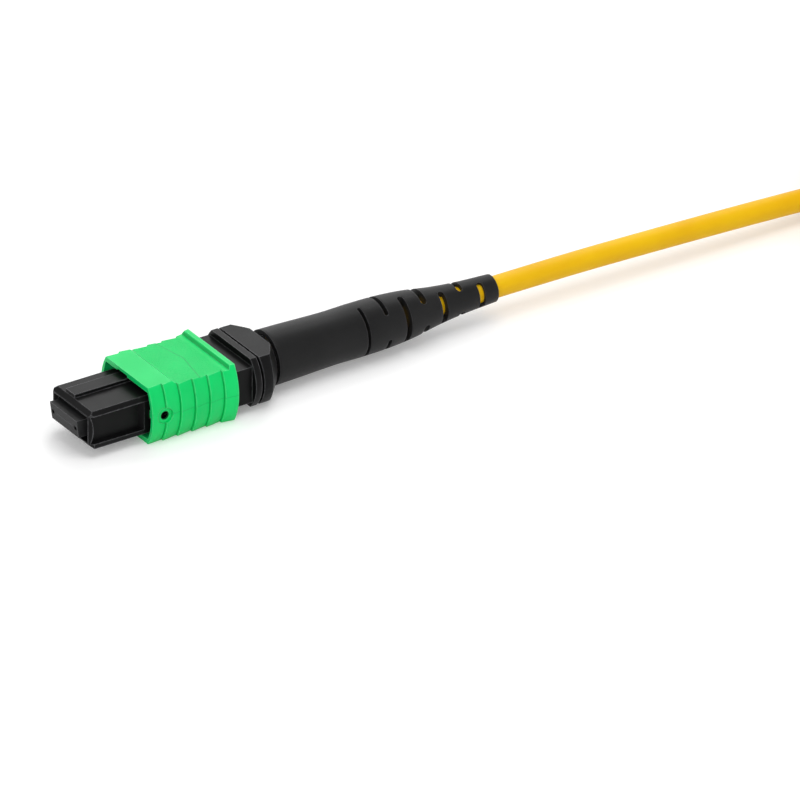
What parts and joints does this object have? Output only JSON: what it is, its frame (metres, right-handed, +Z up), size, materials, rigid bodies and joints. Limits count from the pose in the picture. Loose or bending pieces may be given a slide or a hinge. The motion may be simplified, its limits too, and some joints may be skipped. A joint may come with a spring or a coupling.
{
  "type": "multi-fibre push-on connector",
  "caption": "Rectangular push-on fibre-optic plug with a sliding ribbed sleeve, slotted strain-relief boot and a round patch cable put away in a tied hank.",
  "frame": {"origin": "centre of the ferrule's mating face", "axes": "+X from the mating face towards the cable, +Z up, the key offset towards +Y, +Y to the right when the plug is seen from its cable end"},
  "size_m": [0.2769, 0.021, 0.0201],
  "materials": {
    "green_shell": "satin moulded",
    "black_plastic": "satin moulded",
    "ferrule_resin": "fine moulded with a polished face",
    "grey_rubber": "matte",
    "spring_steel": "drawn wire and stamped sheet",
    "ribbon_coating": "smooth coated fibres",
    "yarn": "loose strands",
    "crimp_metal": "plain turned",
    "boot_rubber": "matte moulded",
    "yellow_jacket": "smooth extruded",
    "hook_and_loop": "woven strap"
  },
  "bodies": {
    "plug": {"inner_housing": "black_plastic", "spring_push": "black_plastic", "aramid_yarn": "yarn", "crimp_ring": "crimp_metal", "boot": "boot_rubber", "cable_lead": "yellow_jacket", "coupling_spring_left": "spring_steel", "coupling_spring_right": "spring_steel", "cable": "yellow_jacket", "cable_hank": "yellow_jacket", "hank_tie": "hook_and_loop", "cable_tail": "yellow_jacket", "far_inner_housing": "black_plastic", "far_spring_push": "black_plastic", "far_boot": "boot_rubber", "far_cable_lead": "yellow_jacket"},
    "sleeve": {"coupling_sleeve": "green_shell"},
    "ferrule_group": {"ferrule": "ferrule_resin", "ferrule_boot": "grey_rubber", "pin_keeper": "spring_steel", "fibre_ribbon": "ribbon_coating", "ferrule_spring": "spring_steel"},
    "far_sleeve": {"far_coupling_sleeve": "green_shell"},
    "far_ferrule_group": {"far_ferrule": "ferrule_resin"}
  },
  "joints": [
    {"name": "sleeve_slide", "type": "slide", "parent": "plug", "child": "sleeve", "axis": [1, 0, 0], "range_m": [0, 0.002], "stiffness_N_per_m": 600, "springref_m": -0.003, "deforming": ["coupling_spring_left", "coupling_spring_right"]},
    {"name": "ferrule_slide", "type": "slide", "parent": "plug", "child": "ferrule_group", "axis": [1, 0, 0], "range_m": [0, 0.001], "stiffness_N_per_m": 4000, "springref_m": -0.0025, "deforming": ["ferrule_spring", "fibre_ribbon"]},
    {"name": "far_sleeve_slide", "type": "slide", "parent": "plug", "child": "far_sleeve", "axis": [-1, 0, 0], "range_m": [0, 0.002], "stiffness_N_per_m": 600, "springref_m": -0.003},
    {"name": "far_ferrule_slide", "type": "slide", "parent": "plug", "child": "far_ferrule_group", "axis": [-1, 0, 0], "range_m": [0, 0.001], "stiffness_N_per_m": 4000, "springref_m": -0.0025}
  ]
}
